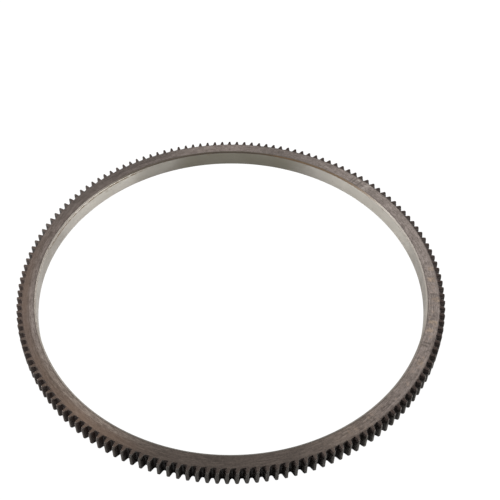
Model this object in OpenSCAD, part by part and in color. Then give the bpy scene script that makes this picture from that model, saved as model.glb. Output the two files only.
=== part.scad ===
// Starter ring gear for an engine flywheel: one steel ring with spur teeth all
// round, a plain bore that is shrunk onto the flywheel, and tooth ends that are
// bevelled on the side where the starter pinion slides into mesh.
// The origin is on the axis, in the plane of the bottom face. +Z is the axis and
// points to the pinion side. The middle of one tooth gap lies on +X.

/* [Teeth] */
// Number of teeth
tooth_count = 155; // [151:1:170]
// Module: the pitch diameter divided by the number of teeth
gear_module = 3; // [2.95:0.05:3.3]
// Pressure angle of the flanks, in degrees
pressure_angle = 20; // [18:0.5:22]
// Height of a tooth above the pitch circle
addendum = 2.8; // [2.4:0.1:3.1]
// Depth of a tooth gap below the pitch circle
dedendum = 3.4; // [3.2:0.1:3.9]
// Thickness of a tooth along the pitch circle
tooth_w = 4.7; // [4.4:0.1:5.2]
// Chamfer on the long edges of each tooth tip
tip_edge = 0.5; // [0.2:0.05:0.6]

/* [Ring] */
// Diameter of the bore
bore_d = 428.5; // [400:0.5:434]
// Width of the ring along its axis
face_w = 19.8; // [14:0.2:28]
// Radial width of the bore chamfer at the top face
bore_top_r = 1.6; // [0.4:0.1:3]
// Height of the bore chamfer at the top face
bore_top_z = 1.4; // [0.4:0.1:3]
// Bore chamfer at the bottom face, both ways
bore_bottom = 0.7; // [0.2:0.1:2]

/* [Tooth ends] */
// Radial width of the slope on the tooth tips at the top face
tip_top_r = 0.9; // [0.3:0.1:2.5]
// Height of the slope on the tooth tips at the top face
tip_top_z = 2.4; // [0.5:0.1:4]
// Chamfer of the tooth tips at the bottom face, both ways
tip_bottom = 0.5; // [0.2:0.1:1.5]
// Width of the entry bevel at the top face, along the pitch circle
bevel_w = 2.2; // [1:0.1:2.4]
// Depth of the entry bevel along the flank
bevel_z = 5.1; // [2:0.1:8]

/* [Hidden] */
$fn = 96;

// Overshoot of each cutting body past the surface that it cuts
over = 1;
// Facets along each curved part of a gap outline
root_steps = 3;
flank_steps = 3;

bore_r = bore_d / 2;
pitch_r = gear_module * tooth_count / 2;
tip_r = pitch_r + addendum;
root_r = pitch_r - dedendum;
base_r = pitch_r * cos(pressure_angle);
pitch_angle = 360 / tooth_count;

function radians(a) = a * PI / 180;
function degrees(a) = a * 180 / PI;
function polar(r, a) = [r * cos(a), r * sin(a)];

// Involute function, in degrees
function inv(a) = degrees(tan(a)) - a;

// Half the angle of a tooth gap at the pitch circle, at the base circle and at
// any radius r outside the base circle
gap_pitch = pitch_angle / 2 - degrees(tooth_w / 2 / pitch_r);
gap_base = gap_pitch - inv(pressure_angle);
function gap_half(r) = gap_base + inv(acos(base_r / r));

// Unwound angle of the involute where it reaches radius r, in degrees, and the
// point of the flank at an unwound angle
function roll_at(r) = degrees(sqrt((r / base_r) ^ 2 - 1));
function flank_point(roll) =
    polar(base_r * sqrt(1 + radians(roll) ^ 2), gap_base + roll - atan(radians(roll)));

// Radius of the round root, which touches both flanks and the root circle
function root_fit(steps, r) =
    steps == 0 ? r : root_fit(steps - 1, base_r * radians(gap_half(root_r + r)));
root_round = root_fit(12, gear_module / 2);
root_centre = root_r + root_round;
root_lean = acos(base_r / root_centre);

// The flank runs from the round root to the small chamfer at the tooth tip. The
// chamfer and the mouth of the gap go on past the tip circle.
roll_root = root_lean - gap_base;
roll_tip = roll_at(tip_r - tip_edge);
past_tip = 2 * tip_edge;

// Half of the gap outline, from its middle at the root out past the tip circle
root_arc = [for (i = [0 : root_steps])
    [root_centre, 0] + polar(root_round, 180 - i / root_steps * (90 - root_lean))];
flank = [for (i = [1 : flank_steps])
    flank_point(roll_root + i / flank_steps * (roll_tip - roll_root))];
chamfer = flank_point(roll_tip) + [past_tip, past_tip];
gap_side = concat(root_arc, flank, [chamfer, chamfer + [over, 0]]);
gap_points = len(gap_side);
gap_outline = concat(
    gap_side,
    [for (i = [gap_points - 1 : -1 : 1]) [gap_side[i][0], -gap_side[i][1]]]);

// Section of the plain ring, with the chamfers of the bore and of the tooth tips
ring_section = [
    [bore_r + bore_bottom, 0],
    [tip_r - tip_bottom, 0],
    [tip_r, tip_bottom],
    [tip_r, face_w - tip_top_z],
    [tip_r - tip_top_r, face_w],
    [bore_r + bore_top_r, face_w],
    [bore_r, face_w - bore_top_z],
    [bore_r, bore_bottom],
];

module ring_blank() {
    rotate_extrude(angle = 360, $fn = 360)
        polygon(ring_section);
}

module tooth_gap() {
    translate([0, 0, -over])
        linear_extrude(height = face_w + 2 * over)
            polygon(gap_outline);
}

// Wedge that bevels the flank on the +Y side of a gap, at the top face. It lies
// along the flank as that leans at the pitch circle, and ends near the root.
module entry_bevel() {
    inner = dedendum - root_round * 0.3;
    outer = addendum + 2 * over;
    section = [
        [0, -bevel_z],
        [bevel_w * (1 + over / bevel_z), over],
        [-over, over],
    ];
    translate([pitch_r * cos(gap_pitch), pitch_r * sin(gap_pitch), face_w])
        rotate([0, 0, gap_pitch + pressure_angle])
            translate([-inner, 0, 0])
                rotate([90, 0, 90])
                    linear_extrude(height = inner + outer)
                        polygon(section);
}

module ring_gear() {
    color([0.36, 0.33, 0.30])
        difference() {
            ring_blank();
            for (i = [0 : tooth_count - 1])
                rotate([0, 0, i * pitch_angle]) {
                    tooth_gap();
                    entry_bevel();
                }
        }
}

ring_gear();
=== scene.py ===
import math
import random

import bpy
from mathutils import Matrix, Vector
from mathutils.geometry import delaunay_2d_cdt


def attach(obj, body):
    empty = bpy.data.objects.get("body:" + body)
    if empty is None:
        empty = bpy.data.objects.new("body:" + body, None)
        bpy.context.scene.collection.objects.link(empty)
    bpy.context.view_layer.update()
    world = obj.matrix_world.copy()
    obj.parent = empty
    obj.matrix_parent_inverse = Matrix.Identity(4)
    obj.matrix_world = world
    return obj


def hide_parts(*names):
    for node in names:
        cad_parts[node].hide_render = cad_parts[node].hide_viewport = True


# The starter ring gear as it looks in use: one steel ring with a scaled top and
# bottom face, a turned bore, and dark cut teeth with bevelled ends. Sizes are in
# millimetres and angles in degrees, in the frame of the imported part.

MM = 0.001

# Teeth
TOOTH_COUNT = 155
GEAR_MODULE = 3.0
PRESSURE_ANGLE = 20.0
ADDENDUM = 2.8
DEDENDUM = 3.05
TOOTH_WIDTH = 4.7

# Ring
BORE_RADIUS = 214.25
FACE_WIDTH = 19.8
BORE_TOP = (1.6, 1.4)
BORE_BOTTOM = 0.7

# Tooth ends
TIP_TOP = (0.4, 2.4)
TIP_BOTTOM = 0.5
BEVEL_WIDTH = 1.95
LEAST_LAND = 1.9
BEVEL_DEPTH = 5.1
BEVEL_FLARE = 1.8
ROOT_DIP = 0.4

# Rounding of the edges, and the points along each part of a tooth's outline
EDGE = 0.22
TIP_ROUND = 0.7
ROOT_STEPS = 3
FLANK_STEPS = 6
ROUND_STEPS = 4
LAND_STEPS = 3
RING_COLUMNS = 6

PITCH = math.radians(360 / TOOTH_COUNT)
PITCH_RADIUS = GEAR_MODULE * TOOTH_COUNT / 2
TIP_RADIUS = PITCH_RADIUS + ADDENDUM
ROOT_RADIUS = PITCH_RADIUS - DEDENDUM
ALPHA = math.radians(PRESSURE_ANGLE)
BASE_RADIUS = PITCH_RADIUS * math.cos(ALPHA)


# The ring's mesh

def involute(angle):
    return math.tan(angle) - angle


def gap_half(radius):
    """Half the angle of a tooth gap at a radius outside the base circle."""
    at_pitch = PITCH / 2 - TOOTH_WIDTH / 2 / PITCH_RADIUS
    return at_pitch - involute(ALPHA) + involute(math.acos(BASE_RADIUS / radius))


def root_radius_of_gap():
    """Radius of the round root, which touches both flanks and the root circle."""
    size = GEAR_MODULE / 2
    for _ in range(12):
        size = BASE_RADIUS * gap_half(ROOT_RADIUS + size)
    return size


ROOT_ROUND = root_radius_of_gap()


def root_arc(size):
    """The root from the middle of the gap to where the flank begins. A size of 1 is
    the full round, and smaller sizes leave a flat floor with rounder corners."""
    rounding = ROOT_ROUND * size
    centre = ROOT_RADIUS + rounding
    aside = gap_half(centre) - rounding / BASE_RADIUS
    lean = math.acos(BASE_RADIUS / centre)
    flat = 1 - size
    points = [Vector((ROOT_RADIUS, 0.0))]
    for i in range(1, ROOT_STEPS + 1):
        share = i / ROOT_STEPS * size + (i - 1) / (ROOT_STEPS - 1) * flat
        angle = math.pi - share * (math.pi / 2 - lean)
        corner = Vector((centre + rounding * math.cos(angle), rounding * math.sin(angle)))
        points.append(turned(corner, aside))
    return points


def flank_point(radius):
    """Point of the flank at a radius."""
    half = gap_half(radius)
    return Vector((math.cos(half), math.sin(half))) * radius


def mirrored(point):
    return Vector((point.x, -point.y))


def turned(point, angle):
    c, s = math.cos(angle), math.sin(angle)
    return Vector((point.x * c - point.y * s, point.x * s + point.y * c))


def tip_radius_at(z, slope):
    """Radius of the tooth tip at height z. slope is the radial part of the top slope."""
    if z < TIP_BOTTOM:
        return TIP_RADIUS - (TIP_BOTTOM - z)
    start = FACE_WIDTH - TIP_TOP[1]
    if z > start:
        return TIP_RADIUS - slope * (z - start) / TIP_TOP[1]
    return TIP_RADIUS


def tooth_outline(z, bevel, slope, rounding):
    """Outline of one tooth at height z, from the middle of the gap on its clockwise
    side to just before the middle of the next gap, with the first gap on +X."""
    depth = max(0.0, bevel * (1 + (z - FACE_WIDTH) / BEVEL_DEPTH))
    top = tip_radius_at(z, slope)
    cut_back = min(depth / PITCH_RADIUS, PITCH - 2 * gap_half(top) - LEAST_LAND / top)
    square = min(depth / BEVEL_WIDTH, 1.0)
    arc, other = root_arc(1 - 0.8 * square), root_arc(1 - 0.35 * square)

    def bevelled(point):
        inward = (top - point.length) / (top - ROOT_RADIUS)
        flare = BEVEL_FLARE * square * inward / PITCH_RADIUS
        dip = ROOT_DIP * square * inward ** 4
        return turned(point * (1 - dip / point.length), cut_back + flare)

    def flank(start):
        reach = top - rounding - start
        return [flank_point(start + reach * i / FLANK_STEPS) for i in range(1, FLANK_STEPS)]

    cut = [bevelled(p) for p in flank(arc[-1].length)]
    plain = [turned(mirrored(p), PITCH) for p in flank(other[-1].length)]
    corner_a = turned(flank_point(top), cut_back)
    corner_b = turned(mirrored(flank_point(top)), PITCH)
    angle_a = math.atan2(corner_a.y, corner_a.x)
    angle_b = math.atan2(corner_b.y, corner_b.x)
    step = min(rounding, (angle_b - angle_a) * top * 0.3) / top

    def on_land(angle):
        return Vector((math.cos(angle), math.sin(angle))) * top

    def bend(before, corner, after):
        points = []
        for i in range(ROUND_STEPS + 1):
            t = i / ROUND_STEPS
            points.append(before * (1 - t) ** 2 + corner * 2 * t * (1 - t) + after * t * t)
        return points

    def back_from(corner, inner):
        return corner + (inner - corner).normalized() * rounding

    first = bend(back_from(corner_a, cut[-1]), corner_a, on_land(angle_a + step))
    last = bend(on_land(angle_b - step), corner_b, back_from(corner_b, plain[-1]))
    land = [on_land(angle_a + step + (angle_b - angle_a - 2 * step) * i / LAND_STEPS)
            for i in range(1, LAND_STEPS)]
    other_arc = [turned(mirrored(p), PITCH) for p in reversed(other)]
    arc[1:] = [bevelled(p) for p in arc[1:]]
    return arc + cut + first + land + last + plain[::-1] + other_arc[:-1]


OUTLINE_POINTS = len(tooth_outline(FACE_WIDTH / 2, 0, 0, TIP_ROUND))


def inset(points, distance):
    """Points of a whole closed outline, moved towards the metal."""
    moved = []
    count = len(points)
    for i, point in enumerate(points):
        ahead = points[(i + 1) % count] - points[i - 1]
        inward = Vector((-ahead.y, ahead.x)).normalized()
        moved.append(point + inward * distance)
    return moved


def ring_levels():
    """Heights of the rows of the tooth wall, with how far each is set in."""
    soft = [(0.0, 1.0), (0.3, 0.3), (1.0, 0.0)]
    levels = [(EDGE * a, EDGE * b) for a, b in soft]
    levels += [(TIP_BOTTOM + 0.1, 0), (FACE_WIDTH * 0.38, 0)]
    levels += [(FACE_WIDTH - BEVEL_DEPTH, 0), (FACE_WIDTH - BEVEL_DEPTH * 0.7, 0)]
    levels += [(FACE_WIDTH - TIP_TOP[1], 0), (FACE_WIDTH - TIP_TOP[1] * 0.5, 0)]
    levels += [(FACE_WIDTH - EDGE * a, EDGE * b) for a, b in reversed(soft)]
    return levels


def bore_rows():
    """Radius, height and material of the rows from the top face down the bore."""
    r, w = BORE_RADIUS, FACE_WIDTH
    wide, high = BORE_TOP
    low = BORE_BOTTOM
    e = EDGE * 0.6
    return [
        (r + wide + e, w, "face"),
        (r + wide, w - e * 0.25, "chamfer"),
        (r + wide - e * 0.9, w - e * 0.85, "chamfer"),
        (r + wide * 0.5, w - high * 0.5, "chamfer"),
        (r + e * 0.6, w - high + e * 0.6, "chamfer"),
        (r + e * 0.1, w - high - e * 0.1, "bore"),
        (r, w - high - e, "bore"),
        (r, w * 0.66, "bore"),
        (r, w * 0.33, "bore"),
        (r, low + e, "bore"),
        (r + e * 0.3, low, "chamfer"),
        (r + low - e * 0.4, e * 0.5, "chamfer"),
        (r + low + e, 0, "face"),
    ]


FACE_RADII = [BORE_RADIUS + 3.6, BORE_RADIUS + 7.2, BORE_RADIUS + 10.8, ROOT_RADIUS - 1.4]


def sector_cap(outline, edge_radius):
    """Triangles of one tooth's share of a face, from the edge of the bore out to the
    tooth's outline. Gives the added points and the triangles as point numbers: the
    outline's points and the next tooth's first point come first, then the points
    along the bore's edge, then the added ones."""
    points = [Vector(p) for p in outline]
    rim = [Vector((math.cos(PITCH * i / RING_COLUMNS), math.sin(PITCH * i / RING_COLUMNS)))
           * edge_radius for i in range(RING_COLUMNS + 1)]
    added = []
    for radius in FACE_RADII:
        for i in range(RING_COLUMNS + 1):
            angle = PITCH * i / RING_COLUMNS
            added.append(Vector((math.cos(angle), math.sin(angle))) * radius)
    middle = Vector((math.cos(PITCH / 2), math.sin(PITCH / 2)))
    side = Vector((-middle.y, middle.x))
    for radius in (ROOT_RADIUS + 0.8, PITCH_RADIUS - 0.6):
        added.append(middle * radius + side)
    every = points + rim + added
    count, width = len(points), RING_COLUMNS + 1
    first_rim = count
    first_added = count + width
    edges = [(i, i + 1) for i in range(count - 1)]
    edges += [(first_rim + i, first_rim + i + 1) for i in range(RING_COLUMNS)]
    left = [0] + [first_added + width * k for k in reversed(range(len(FACE_RADII)))]
    left.append(first_rim)
    right = [count - 1] + [first_added + width * k + RING_COLUMNS
                           for k in reversed(range(len(FACE_RADII)))]
    right.append(first_rim + RING_COLUMNS)
    edges += list(zip(left, left[1:])) + list(zip(right, right[1:]))
    loop = list(range(count)) + right[1:] + list(range(first_rim + RING_COLUMNS - 1,
                                                       first_rim - 1, -1)) + left[-2:0:-1]
    found = delaunay_2d_cdt(every, edges, [loop], 1, 1e-6)
    if len(found[0]) != len(every):
        raise RuntimeError("the face of a tooth has crossing lines")
    order = [source[0] for source in found[3]]
    triangles = []
    for face in found[2]:
        a, b, c = (order[i] for i in face)
        turn = (every[b] - every[a]).cross(every[c] - every[a])
        triangles.append((a, b, c) if turn > 0 else (a, c, b))
    return added, triangles


def build_ring():
    """The ring as one closed mesh, with the rubbing of its edges and their painted highlight as a
    point attribute.
    """
    rng = random.Random(11)
    teeth = []
    for _ in range(TOOTH_COUNT):
        teeth.append((BEVEL_WIDTH * (1 + rng.uniform(-0.08, 0.05)),
                      TIP_TOP[0] * (1 + rng.uniform(-0.15, 0.15)),
                      TIP_ROUND * (1 + rng.uniform(-0.15, 0.25))))
    points, faces, kinds, wear_and_highlight_values = [], [], [], []

    def add(point, z, wear_and_highlight):
        points.append((point.x * MM, point.y * MM, z * MM))
        wear_and_highlight_values.append(wear_and_highlight)
        return len(points) - 1

    def add_face(corners, kind):
        faces.append(corners)
        kinds.append(kind)

    corner_points = set()
    first_corner = ROOT_STEPS + FLANK_STEPS
    for start in (first_corner, first_corner + ROUND_STEPS + LAND_STEPS):
        corner_points.update(range(start, start + ROUND_STEPS + 1))

    per_ring = OUTLINE_POINTS * TOOTH_COUNT
    rows, outlines = [], []
    levels = ring_levels()
    for number, (z, set_in) in enumerate(levels):
        outline = []
        for i, (bevel, slope, rounding) in enumerate(teeth):
            for p in tooth_outline(z, bevel, slope, rounding):
                outline.append(turned(p, i * PITCH))
        if set_in:
            outline = inset(outline, set_in)
        outlines.append(outline)
        at_end = number < 3 or number > len(levels) - 4
        row = []
        for k, p in enumerate(outline):
            at_corner = k % OUTLINE_POINTS in corner_points
            row.append(add(p, z, 1.0 if at_end else 0.75 if at_corner else 0.0))
        rows.append(row)
    bevelled = set(range(first_corner + 1))
    for number, (low, high) in enumerate(zip(rows, rows[1:])):
        in_bevel = FACE_WIDTH - BEVEL_DEPTH <= levels[number][0]
        for k in range(per_ring):
            n = (k + 1) % per_ring
            kind = "bevel" if in_bevel and k % OUTLINE_POINTS in bevelled else "tooth"
            add_face((low[k], low[n], high[n], high[k]), kind)

    columns = RING_COLUMNS * TOOTH_COUNT
    ring_rows, ring_kinds = [], []
    for radius, z, kind in bore_rows():
        wear_and_highlight = 0.6 if kind == "chamfer" else 0.0
        row = []
        for k in range(columns):
            angle = PITCH * k / RING_COLUMNS
            row.append(add(Vector((math.cos(angle), math.sin(angle))) * radius, z, wear_and_highlight))
        ring_rows.append(row)
        ring_kinds.append(kind)
    for i in range(len(ring_rows) - 1):
        upper, lower = ring_rows[i], ring_rows[i + 1]
        kind = ring_kinds[i + 1] if i < 5 else ring_kinds[i]
        if i == len(ring_rows) - 2:
            kind = "chamfer"
        for k in range(columns):
            n = (k + 1) % columns
            add_face((upper[k], upper[n], lower[n], lower[k]), kind)

    for z, level, rim, facing in ((FACE_WIDTH, -1, ring_rows[0], 1), (0.0, 0, ring_rows[-1], -1)):
        edge_radius = math.hypot(*points[rim[0]][:2]) / MM
        outline = outlines[level]
        pattern = None
        shared = {}
        for i in range(TOOTH_COUNT):
            first = i * OUTLINE_POINTS
            last = (i + 1) * OUTLINE_POINTS
            part = [turned(p, -i * PITCH) for p in outline[first:last]]
            part.append(turned(outline[last % per_ring], -i * PITCH))
            if pattern is None:
                pattern = sector_cap(part, edge_radius)
            added, triangles = pattern
            numbers = [rows[level][k % per_ring] for k in range(first, last + 1)]
            numbers += [rim[(i * RING_COLUMNS + k) % columns] for k in range(RING_COLUMNS + 1)]
            for k, p in enumerate(added):
                on_grid = k < len(FACE_RADII) * (RING_COLUMNS + 1)
                row_number, column = divmod(k, RING_COLUMNS + 1)
                key = (row_number, (i * RING_COLUMNS + column) % columns)
                if on_grid and key in shared:
                    numbers.append(shared[key])
                    continue
                number = add(turned(p, i * PITCH), z, 0.0)
                if on_grid:
                    shared[key] = number
                numbers.append(number)
            for a, b, c in triangles:
                corners = (numbers[a], numbers[b], numbers[c])
                add_face(corners if facing > 0 else corners[::-1], "face")

    mesh = bpy.data.meshes.new("ring_gear_finish")
    mesh.from_pydata(points, [], faces)
    mesh.attributes.new("edge_wear_and_highlight", "FLOAT", "POINT").data.foreach_set("value", wear_and_highlight_values)
    return mesh, kinds


# Node trees

class Tree:
    """Short calls for making the nodes of one material."""

    def __init__(self, name):
        self.material = bpy.data.materials.new(name)
        self.material.use_nodes = True
        self.nodes = self.material.node_tree.nodes
        self.links = self.material.node_tree.links
        self.nodes.clear()

    def add(self, kind, settings=(), **inputs):
        node = self.nodes.new(kind)
        for name, value in dict(settings).items():
            setattr(node, name, value)
        for name, value in inputs.items():
            self.put(node.inputs[name], value)
        return node

    def put(self, socket, value):
        if isinstance(value, bpy.types.NodeSocket):
            self.links.new(value, socket)
        else:
            socket.default_value = value

    def math(self, operation, a, b=0.0, c=0.0, clamp=False):
        node = self.nodes.new("ShaderNodeMath")
        node.operation = operation
        node.use_clamp = clamp
        for socket, value in zip(node.inputs, (a, b, c)):
            self.put(socket, value)
        return node.outputs[0]

    def step(self, value, low, high, out_low=0.0, out_high=1.0):
        """A smooth change from out_low to out_high while value goes from low to high."""
        node = self.add("ShaderNodeMapRange", {"interpolation_type": "SMOOTHSTEP"})
        for socket, number in zip(node.inputs, (value, low, high, out_low, out_high)):
            self.put(socket, number)
        return node.outputs[0]

    def window(self, value, centre, half, soft):
        """1 within half of centre, falling to 0 over soft."""
        off = self.math("ABSOLUTE", self.math("SUBTRACT", value, centre))
        return self.step(off, half, half + soft, 1.0, 0.0)

    def join(self, x, y, z):
        node = self.nodes.new("ShaderNodeCombineXYZ")
        for socket, value in zip(node.inputs, (x, y, z)):
            self.put(socket, value)
        return node.outputs[0]

    def noise(self, vector, scale, detail=3.0, rough=0.55, w=None):
        node = self.add("ShaderNodeTexNoise", {"noise_dimensions": "3D" if w is None else "4D"},
                        Scale=scale, Detail=detail, Roughness=rough, Vector=vector)
        if w is not None:
            self.put(node.inputs["W"], w)
        return node.outputs["Fac"]

    def mix(self, share, a, b, blend="MIX"):
        node = self.add("ShaderNodeMix", {"data_type": "RGBA", "blend_type": blend})
        self.put(node.inputs["Factor"], share)
        for name, value in (("A", a), ("B", b)):
            socket = [s for s in node.inputs if s.name == name and s.type == "RGBA"][0]
            self.put(socket, value if isinstance(value, bpy.types.NodeSocket) else (*value, 1))
        return [s for s in node.outputs if s.type == "RGBA"][0]

    def bump(self, height, strength, distance):
        node = self.add("ShaderNodeBump", Height=height, Strength=strength, Distance=distance)
        return node.outputs["Normal"]

    def surface(self, colour, roughness, normal, metallic, gloss=0.5):
        shader = self.add("ShaderNodeBsdfPrincipled", Normal=normal)
        self.put(shader.inputs["Specular IOR Level"], gloss)
        self.put(shader.inputs["Base Color"], colour)
        self.put(shader.inputs["Roughness"], roughness)
        self.put(shader.inputs["Metallic"], metallic)
        output = self.nodes.new("ShaderNodeOutputMaterial")
        self.links.new(shader.outputs[0], output.inputs["Surface"])
        return self.material

    def ring_coordinates(self):
        """Place on the ring: position in metres, radius, angle and height, and a
        direction that has no seam, for patterns that run round the ring."""
        place = self.add("ShaderNodeTexCoord").outputs["Object"]
        split = self.nodes.new("ShaderNodeSeparateXYZ")
        self.links.new(place, split.inputs[0])
        x, y, z = split.outputs
        squares = self.math("ADD", self.math("MULTIPLY", x, x), self.math("MULTIPLY", y, y))
        radius = self.math("SQRT", squares)
        self.place = place
        self.x, self.y = x, y
        self.radius = self.math("MULTIPLY", radius, 1 / MM)
        self.height = self.math("MULTIPLY", z, 1 / MM)
        turn = self.math("DEGREES", self.math("ARCTAN2", y, x))
        self.angle = self.math("WRAP", turn, 330.0, -30.0)
        self.full_angle = self.math("WRAP", turn, 360.0, 0.0)
        self.way = (self.math("DIVIDE", x, radius), self.math("DIVIDE", y, radius))

    def streaks(self, along, across, detail=3.0, rough=0.6):
        """Noise drawn out round the ring: along is its fineness round the ring and
        across its fineness over the radius and the height, a millimetre."""
        x = self.math("MULTIPLY", self.way[0], along)
        y = self.math("MULTIPLY", self.way[1], along)
        level = self.math("MULTIPLY", self.math("ADD", self.radius, self.height), across)
        return self.noise(self.join(x, y, level), 1.0, detail, rough)


def scaled_face():
    """Dull brown-grey scale of the top and bottom faces, darker on the tooth ends, with painted
    shade and a painted highlight in its colour.
    """
    t = Tree("scaled_face")
    t.ring_coordinates()
    patches = t.noise(t.place, 26.0, 3.0, 0.6)
    mottle = t.noise(t.place, 380.0, 4.0, 0.7)
    grain = t.noise(t.place, 1100.0, 2.0, 0.6)
    drawn = t.streaks(16.0, 1.3, 5.0, 0.75)
    fine = t.streaks(40.0, 3.2, 3.0, 0.7)
    colour = t.mix(t.step(patches, 0.36, 0.66), (0.120, 0.098, 0.086), (0.172, 0.144, 0.130))
    colour = t.mix(t.step(mottle, 0.45, 0.68, 0.0, 0.55), colour, (0.25, 0.215, 0.195))
    colour = t.mix(t.step(mottle, 0.48, 0.30, 0.0, 0.60), colour, (0.070, 0.053, 0.044))
    colour = t.mix(t.step(drawn, 0.51, 0.64, 0.0, 0.85), colour, (0.30, 0.265, 0.245))
    colour = t.mix(t.step(drawn, 0.47, 0.34, 0.0, 0.80), colour, (0.060, 0.046, 0.038))
    colour = t.mix(t.step(fine, 0.47, 0.32, 0.0, 0.75), colour, (0.050, 0.038, 0.031))
    colour = t.mix(t.step(fine, 0.55, 0.70, 0.0, 0.45), colour, (0.34, 0.30, 0.275))

    left = t.window(t.angle, 208.0, 30.0, 24.0)
    outer = t.step(t.radius, 218.0, 226.0)
    rust = t.math("MULTIPLY", t.math("MULTIPLY", left, outer),
                  t.step(patches, 0.30, 0.60, 0.5, 1.0))
    colour = t.mix(t.math("MULTIPLY", rust, 0.62), colour, (0.142, 0.094, 0.066))
    # Painted highlight: a pale line on the lower left of the face, where a rounded ridge would
    # catch the light.
    inner = t.math("MULTIPLY", t.window(t.angle, 220.0, 26.0, 18.0),
                   t.window(t.radius, 218.6, 1.6, 1.8))
    inner = t.math("MULTIPLY", inner, t.step(fine, 0.44, 0.60))
    colour = t.mix(t.math("MULTIPLY", inner, 0.6), colour, (0.33, 0.30, 0.28))

    blotch = t.noise(t.place, 150.0, 4.0, 0.7)
    rough_side = t.window(t.full_angle, 328.0, 28.0, 12.0)
    pale_spots = t.math("MULTIPLY", rough_side, t.step(blotch, 0.53, 0.66))
    colour = t.mix(t.math("MULTIPLY", pale_spots, 0.5), colour, (0.30, 0.235, 0.185))
    dark_spots = t.math("MULTIPLY", rough_side, t.step(blotch, 0.46, 0.34))
    colour = t.mix(t.math("MULTIPLY", dark_spots, 0.6), colour, (0.055, 0.040, 0.032))

    # Darkening by angle round the ring, with an outer band and line on the left: partly the
    # scale's own tone, partly painted shade from how the lamps fall.
    shades = (
        (131.0, 12.0, 24.0, 0.43),
        (72.0, 6.0, 14.0, 0.48),
        (272.0, 14.0, 30.0, 0.77),
        (330.0, 30.0, 10.0, 0.28),
        (20.0, 50.0, 30.0, 0.24),
        (188.0, 32.0, 20.0, 0.10),
    )
    shade = 0.0
    for centre, half, soft, most in shades:
        part = t.math("MULTIPLY", t.window(t.angle, centre, half, soft), most)
        shade = t.math("MAXIMUM", shade, part)
    left_band = t.window(t.angle, 165.0, 50.0, 20.0)
    band = t.math("MULTIPLY", left_band, t.step(t.radius, 221.4, 223.4, 0.0, 0.15))
    line = t.math("MULTIPLY", left_band, t.window(t.radius, 222.4, 0.2, 0.5))
    band = t.math("ADD", band, t.math("MULTIPLY", line, 0.20))
    shade = t.math("ADD", shade, band, clamp=True)
    colour = t.mix(shade, colour, (0.16, 0.145, 0.135), "MULTIPLY")

    # Tooth ends darker everywhere in their own tone, and darker still on the right and far side
    # as painted shade where they face away from the light.
    right = t.math("MAXIMUM", t.window(t.angle, 30.0, 70.0, 30.0), t.step(t.angle, 285.0, 320.0))
    ends = t.step(t.radius, ROOT_RADIUS - 1.7, ROOT_RADIUS + 0.3)
    ends = t.math("MULTIPLY", ends, t.math("MULTIPLY_ADD", right, 0.50, 0.45))
    colour = t.mix(ends, colour, (0.030, 0.021, 0.018))

    warm = t.window(t.angle, 258.0, 40.0, 20.0)
    colour = t.mix(warm, colour, (1.0, 0.965, 0.90), "MULTIPLY")
    colour = t.mix(1.0, colour, (0.97, 0.925, 0.905), "MULTIPLY")

    rim = t.window(t.radius, BORE_RADIUS + BORE_TOP[0] + 0.7, 0.2, 0.5)
    colour = t.mix(t.math("MULTIPLY", rim, 0.55), colour, (0.045, 0.035, 0.028))

    pale, dark, tan = (0.33, 0.30, 0.27), (0.030, 0.020, 0.014), (0.25, 0.18, 0.12)
    marks = (
        (43.7, 0.5, 0.5, 221.0, 6.0, 3.0, 0.32, pale),
        (46.3, 0.14, 0.25, 221.5, 6.0, 2.0, 0.75, dark),
        (48.3, 0.14, 0.25, 222.5, 4.5, 2.0, 0.70, dark),
        (49.3, 0.10, 0.25, 221.0, 3.5, 2.0, 0.65, dark),
        (47.2, 0.3, 0.4, 225.5, 1.0, 1.0, 0.60, pale),
        (2.0, 0.5, 0.7, 223.0, 3.0, 2.5, 0.55, tan),
        (6.0, 0.4, 0.6, 225.0, 2.0, 2.0, 0.50, tan),
        (354.7, 0.4, 0.7, 224.5, 3.0, 2.0, 0.60, tan),
        (356.6, 0.10, 0.25, 223.0, 3.0, 1.5, 0.80, dark),
        (346.5, 0.3, 0.5, 223.0, 3.5, 2.0, 0.65, tan),
        (343.5, 0.4, 0.6, 221.5, 2.5, 2.0, 0.55, tan),
        (339.0, 0.10, 0.30, 222.0, 3.5, 1.5, 0.80, dark),
        (337.9, 0.10, 0.30, 220.5, 2.5, 1.5, 0.75, dark),
        (332.0, 0.5, 0.8, 223.5, 2.0, 2.0, 0.50, tan),
    )
    for angle, wide, soft, radius, high, fade, most, tint in marks:
        mark = t.math("MULTIPLY", t.window(t.full_angle, angle, wide, soft),
                      t.window(t.radius, radius, high, fade))
        least = 0.25 if tint == dark else 0.0
        mark = t.math("MULTIPLY", mark, t.step(mottle, 0.36, 0.58, least, 1.0))
        colour = t.mix(t.math("MULTIPLY", mark, most), colour, tint)
    height = t.math("ADD", t.math("MULTIPLY", mottle, 0.6), t.math("MULTIPLY", grain, 0.4))
    rough = t.math("MAXIMUM", t.step(mottle, 0.3, 0.7, 0.62, 0.46), t.math("MULTIPLY", ends, 0.9))
    dull = t.math("MULTIPLY_ADD", ends, -1.0, 1.0)
    return t.surface(colour, rough, t.bump(height, 0.35, 0.0004),
                     t.math("MULTIPLY", dull, 0.35), t.math("MULTIPLY_ADD", dull, 0.4, 0.1))


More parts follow.
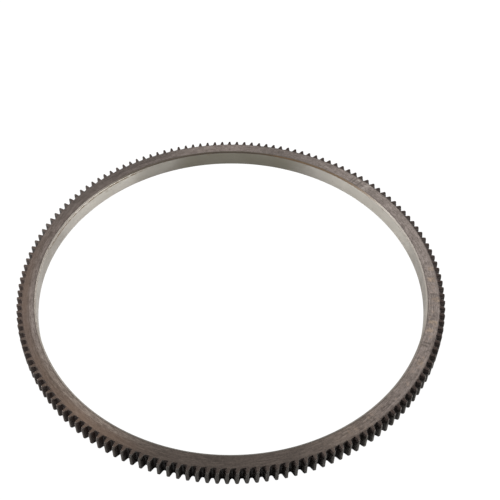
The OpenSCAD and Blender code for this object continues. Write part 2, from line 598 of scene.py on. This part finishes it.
def turned_bore():
    """Smooth turned bore, pale and clean beside the scaled faces, with painted reflections on its
    sides and painted shade at the back.
    """
    t = Tree("turned_bore")
    t.ring_coordinates()
    lines = t.streaks(6.0, 5.0, 4.0, 0.7)
    soft = t.noise(t.place, 45.0, 3.0, 0.55)
    colour = t.mix(t.step(soft, 0.3, 0.7), (0.40, 0.37, 0.33), (0.50, 0.47, 0.43))
    colour = t.mix(t.step(lines, 0.4, 0.7, 0.0, 0.35), colour, (0.56, 0.53, 0.49))
    # Painted reflection: pale bands on the bore where the side lamps' reflections fall.
    painted_reflection = t.math("MAXIMUM", t.window(t.angle, 38.0, 12.0, 18.0),
                    t.window(t.angle, 138.0, 7.0, 18.0))
    colour = t.mix(t.math("MULTIPLY", painted_reflection, 0.68), colour, (0.74, 0.70, 0.63))
    # Painted shade: the back of the bore dimmer and olive where the lamps' reflection ends.
    back = t.math("MAXIMUM", t.window(t.angle, 90.0, 15.0, 12.0),
                  t.math("MULTIPLY", t.window(t.angle, 117.0, 5.0, 6.0), 0.35))
    colour = t.mix(t.math("MULTIPLY", back, 0.8), colour, (0.19, 0.175, 0.13))

    upper_left = t.window(t.angle, 145.0, 18.0, 8.0)
    dashes = t.noise(t.join(t.math("MULTIPLY", t.angle, 0.55), t.math("MULTIPLY", t.height, 0.5),
                            0.0), 1.0, 3.0, 0.7)
    dash = t.math("MULTIPLY", t.window(t.height, FACE_WIDTH - 2.9, 0.7, 0.7),
                  t.step(dashes, 0.40, 0.50))
    dash = t.math("MULTIPLY", dash, upper_left)
    colour = t.mix(t.math("MULTIPLY", dash, 0.85), colour, (0.20, 0.13, 0.065))
    top_line = t.math("MULTIPLY", t.step(t.height, FACE_WIDTH - 2.1, FACE_WIDTH - 1.6),
                      t.window(t.angle, 25.0, 40.0, 12.0))
    colour = t.mix(t.math("MULTIPLY", top_line, 0.6), colour, (0.13, 0.10, 0.07))
    stain = t.math("MULTIPLY", t.step(t.noise(t.place, 120.0, 4.0, 0.7), 0.60, 0.74), 0.45)
    colour = t.mix(stain, colour, (0.26, 0.20, 0.13))
    return t.surface(colour, t.step(lines, 0.3, 0.7, 0.36, 0.5),
                     t.bump(lines, 0.15, 0.0002), 0.6)


def worn_chamfer():
    """Narrow chamfers at both ends of the bore."""
    t = Tree("worn_chamfer")
    t.ring_coordinates()
    lines = t.streaks(7.0, 3.0, 4.0, 0.7)
    spots = t.noise(t.place, 240.0, 3.0, 0.6)
    colour = t.mix(t.step(lines, 0.35, 0.65), (0.17, 0.15, 0.13), (0.28, 0.25, 0.22))
    colour = t.mix(t.step(spots, 0.55, 0.75, 0.0, 0.7), colour, (0.12, 0.085, 0.06))
    back = t.window(t.angle, 90.0, 34.0, 24.0)
    colour = t.mix(t.math("MULTIPLY", back, 0.85), colour, (0.055, 0.040, 0.026))
    pale = t.window(t.angle, 14.0, 26.0, 10.0)
    colour = t.mix(t.math("MULTIPLY", pale, 0.75), colour, (0.46, 0.42, 0.38))
    brown = t.window(t.angle, 58.0, 14.0, 12.0)
    colour = t.mix(t.math("MULTIPLY", brown, 0.7), colour, (0.15, 0.095, 0.05))
    near = t.window(t.angle, 270.0, 24.0, 20.0)
    colour = t.mix(t.math("MULTIPLY", near, 0.6), colour, (0.055, 0.052, 0.044))
    return t.surface(colour, t.step(spots, 0.3, 0.7, 0.4, 0.55),
                     t.bump(spots, 0.25, 0.0003), 0.5)


def cut_teeth():
    """Dark oxide of the cut teeth, with painted shade in the gaps and on the near and right
    sides, and paler rubbing with a painted highlight at the edges.
    """
    t = Tree("cut_teeth")
    t.ring_coordinates()
    wear_and_highlight = t.add("ShaderNodeAttribute", {"attribute_name": "edge_wear_and_highlight"}).outputs["Fac"]
    mottle = t.noise(t.place, 420.0, 3.0, 0.6)
    ribs = t.noise(t.join(t.math("MULTIPLY", t.x, 260.0), t.math("MULTIPLY", t.y, 260.0),
                          t.math("MULTIPLY", t.height, 2.5)), 1.0, 3.0, 0.6)
    # Painted shade: the colour darkens from the tips to near black at the roots, where the gaps
    # lie in shade.
    high = t.step(t.radius, ROOT_RADIUS + 1.5, TIP_RADIUS + 0.2)
    colour = t.mix(high, (0.022, 0.017, 0.015), (0.070, 0.063, 0.054))
    colour = t.mix(t.step(mottle, 0.5, 0.75, 0.0, 0.5), colour, (0.09, 0.075, 0.062))
    # Painted shade: teeth on the near side darker, where little light reaches them from the
    # front.
    near = t.window(t.angle, 270.0, 14.0, 26.0)
    colour = t.mix(t.math("MULTIPLY", near, 0.45), colour, (0.026, 0.023, 0.020))
    # Painted shade: teeth on the right and far side darker, where their ends face away from the
    # light.
    right = t.math("MAXIMUM", t.window(t.angle, 30.0, 60.0, 30.0), t.step(t.angle, 300.0, 325.0))
    colour = t.mix(t.math("MULTIPLY", right, 0.5), colour, (0.022, 0.015, 0.013))
    left = t.window(t.full_angle, 208.0, 28.0, 16.0)
    colour = t.mix(t.math("MULTIPLY", left, 0.6), colour, (0.062, 0.034, 0.026))
    # Edges paler, partly real rubbing and partly a painted highlight where they catch the light.
    rub_and_highlight = t.math("MULTIPLY", wear_and_highlight, t.step(mottle, 0.3, 0.6, 0.35, 1.0))
    colour = t.mix(t.math("MULTIPLY", rub_and_highlight, 0.5), colour, (0.17, 0.155, 0.138))
    return t.surface(colour, t.step(mottle, 0.3, 0.7, 0.5, 0.38),
                     t.bump(ribs, 0.2, 0.0003), 0.3)


def dark_bevel():
    """Entry bevels of the teeth, dark brown with a paler middle."""
    t = Tree("dark_bevel")
    t.ring_coordinates()
    mottle = t.noise(t.place, 500.0, 3.0, 0.6)
    colour = t.mix(t.step(mottle, 0.35, 0.68), (0.011, 0.0075, 0.0065), (0.032, 0.023, 0.020))
    middle = t.window(t.height, FACE_WIDTH - 2.2, 0.4, 1.0)
    colour = t.mix(t.math("MULTIPLY", middle, 0.18), colour, (0.13, 0.10, 0.085))
    return t.surface(colour, t.step(mottle, 0.3, 0.7, 0.75, 0.6),
                     t.bump(mottle, 0.3, 0.0003), 0.05, 0.25)


# Camera, floor and light

def make_camera():
    """Camera at the photograph's place, from the fit of the ring's outline."""
    tilt, roll, turn = 0.83486, 0.00147, 0.02127
    focal, shift = 892.11, 0.02825
    along, down, away = -5.363, 48.030, 1004.23
    data = bpy.data.cameras.new("camera")
    data.sensor_width = 36.0
    data.lens = focal / 500 * 36.0
    data.shift_x = shift
    data.clip_start, data.clip_end = 0.01, 100.0
    place = Vector((-along,
                    down * math.sin(tilt) - away * math.cos(tilt),
                    down * math.cos(tilt) + away * math.sin(tilt))) * MM
    camera = bpy.data.objects.new("camera", data)
    bpy.context.scene.collection.objects.link(camera)
    camera.matrix_world = (Matrix.Rotation(turn, 4, "Z")
                           @ Matrix.Translation(place)
                           @ Matrix.Rotation(math.pi / 2 - tilt, 4, "X")
                           @ Matrix.Rotation(roll, 4, "Z"))
    bpy.context.scene.camera = camera


def make_floor():
    mesh = bpy.data.meshes.new("floor")
    half, z = 8.0, -0.0001
    corners = [(-half, -half, z), (half, -half, z), (half, half, z), (-half, half, z)]
    mesh.from_pydata(corners, [], [(0, 1, 2, 3)])
    floor = bpy.data.objects.new("floor", mesh)
    bpy.context.scene.collection.objects.link(floor)
    t = Tree("floor")
    plain = t.add("ShaderNodeBsdfDiffuse", Color=(0.4, 0.4, 0.4, 1))
    glow = t.add("ShaderNodeEmission", Color=(1, 1, 1, 1), Strength=1.10)
    seen = t.add("ShaderNodeLightPath").outputs["Is Camera Ray"]
    both = t.nodes.new("ShaderNodeMixShader")
    t.put(both.inputs[0], t.math("MULTIPLY", seen, 0.92))
    t.links.new(plain.outputs[0], both.inputs[1])
    t.links.new(glow.outputs[0], both.inputs[2])
    output = t.nodes.new("ShaderNodeOutputMaterial")
    t.links.new(both.outputs[0], output.inputs["Surface"])
    mesh.materials.append(t.material)


def make_world():
    """White to the camera. As light it is weak from the front and fuller from behind."""
    world = bpy.data.worlds.new("studio")
    world.use_nodes = True
    nodes, links = world.node_tree.nodes, world.node_tree.links
    nodes.clear()
    split = nodes.new("ShaderNodeSeparateXYZ")
    links.new(nodes.new("ShaderNodeTexCoord").outputs["Generated"], split.inputs[0])
    range_node = nodes.new("ShaderNodeMapRange")
    range_node.interpolation_type = "SMOOTHSTEP"
    for socket, number in zip(range_node.inputs, (0.0, -0.7, 0.8, 0.12, 0.55)):
        socket.default_value = number
    links.new(split.outputs["Y"], range_node.inputs[0])
    light = nodes.new("ShaderNodeBackground")
    light.inputs["Color"].default_value = (1.0, 0.99, 0.97, 1)
    links.new(range_node.outputs[0], light.inputs["Strength"])
    seen = nodes.new("ShaderNodeBackground")
    seen.inputs["Color"].default_value = (1, 1, 1, 1)
    path = nodes.new("ShaderNodeLightPath")
    both = nodes.new("ShaderNodeMixShader")
    output = nodes.new("ShaderNodeOutputWorld")
    links.new(path.outputs["Is Camera Ray"], both.inputs[0])
    links.new(light.outputs[0], both.inputs[1])
    links.new(seen.outputs[0], both.inputs[2])
    links.new(both.outputs[0], output.inputs["Surface"])
    bpy.context.scene.world = world


def make_lamp(name, place, size, power):
    data = bpy.data.lights.new(name, "AREA")
    data.shape = "RECTANGLE"
    data.size, data.size_y = size
    data.energy = power
    lamp = bpy.data.objects.new(name, data)
    lamp.location = place
    lamp.rotation_euler = (-Vector(place)).to_track_quat("-Z", "Y").to_euler()
    bpy.context.scene.collection.objects.link(lamp)


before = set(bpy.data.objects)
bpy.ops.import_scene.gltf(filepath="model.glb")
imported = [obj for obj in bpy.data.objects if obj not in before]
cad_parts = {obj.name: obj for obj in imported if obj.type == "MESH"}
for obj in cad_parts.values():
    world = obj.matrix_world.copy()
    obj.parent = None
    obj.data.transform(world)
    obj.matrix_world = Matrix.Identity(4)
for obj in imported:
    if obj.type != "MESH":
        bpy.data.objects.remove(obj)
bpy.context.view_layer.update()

bpy.context.scene.view_settings.view_transform = "Standard"
make_camera()
make_floor()
make_world()
make_lamp("left_softbox", (-1.4, -0.3, 0.6), (1.0, 0.9), 30.0)
make_lamp("right_softbox", (1.4, -0.25, 0.6), (1.0, 0.9), 30.0)
make_lamp("back_softbox", (0.8, 1.4, 1.0), (1.2, 0.8), 18.0)

ring_mesh, face_kinds = build_ring()
slots = {"face": 0, "bore": 1, "chamfer": 2, "tooth": 3, "bevel": 4}
for made in (scaled_face(), turned_bore(), worn_chamfer(), cut_teeth(), dark_bevel()):
    ring_mesh.materials.append(made)
ring_mesh.polygons.foreach_set("material_index", [slots[kind] for kind in face_kinds])
ring_mesh.polygons.foreach_set("use_smooth", [True] * len(face_kinds))
ring_mesh.update()
ring_mesh.set_sharp_from_angle(angle=math.radians(38))
ring = bpy.data.objects.new("ring_gear_finish", ring_mesh)
bpy.context.scene.collection.objects.link(ring)
even = ring.modifiers.new("even_normals", "WEIGHTED_NORMAL")
even.keep_sharp = True
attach(ring, "root")
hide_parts("ring_gear")
